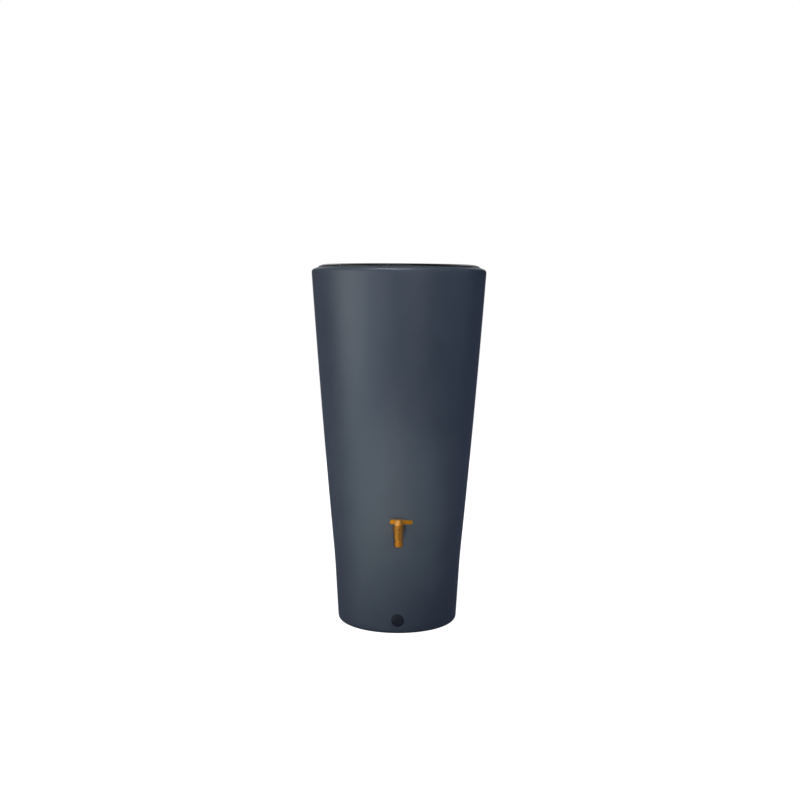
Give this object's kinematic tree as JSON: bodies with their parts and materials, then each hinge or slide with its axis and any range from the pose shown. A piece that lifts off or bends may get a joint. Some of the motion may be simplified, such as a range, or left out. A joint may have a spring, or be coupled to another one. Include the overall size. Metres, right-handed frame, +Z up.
{
  "type": "rain barrel",
  "caption": "Tall tapered round rain barrel with a lift-out planter bowl in its mouth, a front lever tap, a low drain plug and a rear hose connection.",
  "frame": {"origin": "middle of the foot ring, on the ground", "axes": "+Z up the barrel, -Y towards the tap, +X to the right seen from the tap side"},
  "size_m": [0.5808, 0.6255, 1.1988],
  "materials": {
    "barrel": "rotational-moulded polyethylene, graphite blue-grey, satin with a very fine grain",
    "planter": "black moulded polyethylene, satin",
    "brass": "turned and lacquered brass, bright satin",
    "plain_brass": "plain machined brass",
    "rubber": "black rubber",
    "ceramic": "lapped white ceramic",
    "steel": "stainless steel",
    "plug": "injection-moulded dark grey plastic",
    "fitting": "black injection-moulded plastic"
  },
  "bodies": {
    "barrel": {"barrel_shell": "barrel", "tap_bush": "plain_brass", "tap_washer": "rubber", "tap_body": "brass", "headwork_gasket": "rubber", "headwork": "brass", "seat_seal": "rubber", "fixed_disc": "ceramic", "nozzle_gasket": "rubber", "hose_nozzle": "brass", "drain_bush": "plain_brass", "inlet_seal": "rubber", "inlet_spigot": "fitting", "inlet_nut": "fitting"},
    "planter": {"planter_bowl": "planter", "planter_strainer": "planter"},
    "lever": {"turning_disc": "ceramic", "spindle": "plain_brass", "spindle_rings": "rubber", "spindle_clip": "steel", "tap_lever": "brass", "lever_screw": "steel", "lever_cap": "brass"},
    "plug_seal": {"drain_seal": "rubber"},
    "plug": {"drain_plug": "plug"}
  },
  "joints": [
    {"name": "planter_lift", "type": "slide", "parent": "barrel", "child": "planter", "axis": [0, 0, 1], "range_m": [0, 0.2]},
    {"name": "lever_turn", "type": "hinge", "parent": "barrel", "child": "lever", "pos_m": [0, -0.28525, 0.3773], "axis": [0, 0, -1], "range_deg": [0, 90]},
    {"name": "plug_out", "type": "slide", "parent": "barrel", "child": "plug_seal", "axis": [0, -1, 0], "range_m": [0, 0.012]},
    {"name": "plug_turn", "type": "hinge", "parent": "plug_seal", "child": "plug", "pos_m": [0, -0.19832, 0.045], "axis": [0, -1, 0], "range_deg": [0, 2160]}
  ],
  "couplings": [
    {"joint": "plug_out", "follows": "plug_turn", "m_per_rad": 0.00031831}
  ]
}
